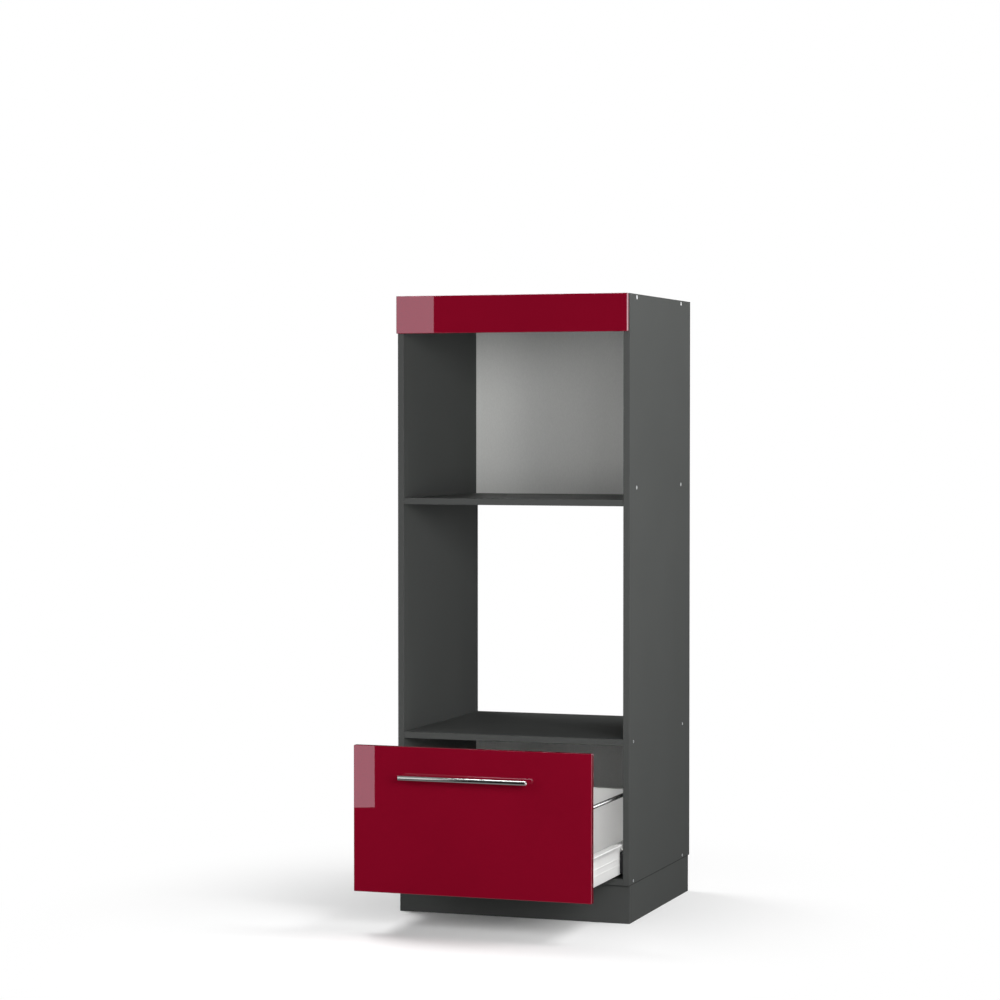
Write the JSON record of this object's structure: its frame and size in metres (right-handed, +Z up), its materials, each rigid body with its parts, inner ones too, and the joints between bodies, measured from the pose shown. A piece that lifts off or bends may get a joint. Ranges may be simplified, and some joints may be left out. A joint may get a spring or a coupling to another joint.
{
  "type": "microwave cabinet",
  "caption": "Tall kitchen housing on a plinth with a microwave niche over an open-backed oven niche and a deep pull-out drawer below.",
  "frame": {"origin": "on the floor, at the centre of the underside of the front plinth board", "axes": "+Z up; -Y towards the front, where the drawer pulls out; +X to the right seen from the front"},
  "size_m": [0.6, 0.88, 1.531],
  "materials": {
    "graphite_board": "graphite grey melamine, fine matt texture",
    "red_gloss": "deep red lacquered board, high gloss",
    "pale_back_board": "pale grey foil on thin fibreboard, smooth",
    "white_steel": "white powder coat, satin",
    "white_board": "pale grey-white melamine, smooth",
    "polished_chrome": "polished chrome on steel",
    "zinc_steel": "bright zinc plate",
    "grey_plastic": "silver grey moulded plastic",
    "black_plastic": "black moulded plastic",
    "white_plastic": "white moulded plastic, smooth",
    "clear_rubber": "translucent soft bumper",
    "beech": "bare fluted beech"
  },
  "bodies": {
    "carcass": {"left_side_panel": "graphite_board", "right_side_panel": "graphite_board", "top_panel": "graphite_board", "upper_shelf": "graphite_board", "middle_panel": "graphite_board", "bottom_panel": "graphite_board", "plinth_front": "graphite_board", "plinth_rear": "graphite_board", "plinth_left": "graphite_board", "plinth_right": "graphite_board", "upper_back_panel": "pale_back_board", "lower_back_panel": "pale_back_board", "top_fascia": "red_gloss", "fascia_brackets": "zinc_steel", "fascia_screws": "zinc_steel", "plinth_screws": "zinc_steel", "top_screws": "zinc_steel", "base_screws": "zinc_steel", "spare_hole_caps": "grey_plastic", "shelf_cams": "zinc_steel", "cam_bolts": "zinc_steel", "dowels": "beech", "plinth_corner_blocks": "black_plastic", "left_runner": "white_steel", "right_runner": "white_steel", "runner_front_blocks": "black_plastic", "runner_screws": "zinc_steel", "front_roller_axles": "zinc_steel"},
    "drawer": {"drawer_front": "red_gloss", "handle_bar": "polished_chrome", "handle_posts": "polished_chrome", "handle_screws": "zinc_steel", "left_drawer_side": "white_steel", "right_drawer_side": "white_steel", "drawer_bottom": "white_board", "drawer_bottom_screws": "zinc_steel", "drawer_back": "white_board", "front_brackets": "white_steel", "front_bracket_screws": "zinc_steel", "back_brackets": "white_steel", "back_bracket_screws": "zinc_steel", "left_gallery_rail": "polished_chrome", "right_gallery_rail": "polished_chrome", "rail_sockets": "white_plastic", "drawer_bumpers": "clear_rubber", "rear_roller_axles": "zinc_steel"},
    "roller_front_left": {"left_front_roller": "white_plastic"},
    "roller_front_right": {"right_front_roller": "white_plastic"},
    "roller_rear_left": {"left_rear_roller": "white_plastic"},
    "roller_rear_right": {"right_rear_roller": "white_plastic"}
  },
  "joints": [
    {"name": "drawer_slide", "type": "slide", "parent": "carcass", "child": "drawer", "axis": [0, -1, 0], "range_m": [-0.282, 0.088]},
    {"name": "roller_front_left_spin", "type": "hinge", "parent": "carcass", "child": "roller_front_left", "pos_m": [-0.2778, 0, 0.185], "axis": [1, 0, 0], "range_deg": [-2025, 635]},
    {"name": "roller_front_right_spin", "type": "hinge", "parent": "carcass", "child": "roller_front_right", "pos_m": [0.2778, 0, 0.185], "axis": [1, 0, 0], "range_deg": [-2025, 635]},
    {"name": "roller_rear_left_spin", "type": "hinge", "parent": "drawer", "child": "roller_rear_left", "pos_m": [-0.2778, 0.189, 0.1805], "axis": [1, 0, 0], "range_deg": [-2025, 635]},
    {"name": "roller_rear_right_spin", "type": "hinge", "parent": "drawer", "child": "roller_rear_right", "pos_m": [0.2778, 0.189, 0.1805], "axis": [1, 0, 0], "range_deg": [-2025, 635]}
  ],
  "couplings": [
    {"joint": "roller_front_left_spin", "follows": "drawer_slide", "rad_per_m": 125},
    {"joint": "roller_front_right_spin", "follows": "drawer_slide", "rad_per_m": 125},
    {"joint": "roller_rear_left_spin", "follows": "drawer_slide", "rad_per_m": 125},
    {"joint": "roller_rear_right_spin", "follows": "drawer_slide", "rad_per_m": 125}
  ]
}
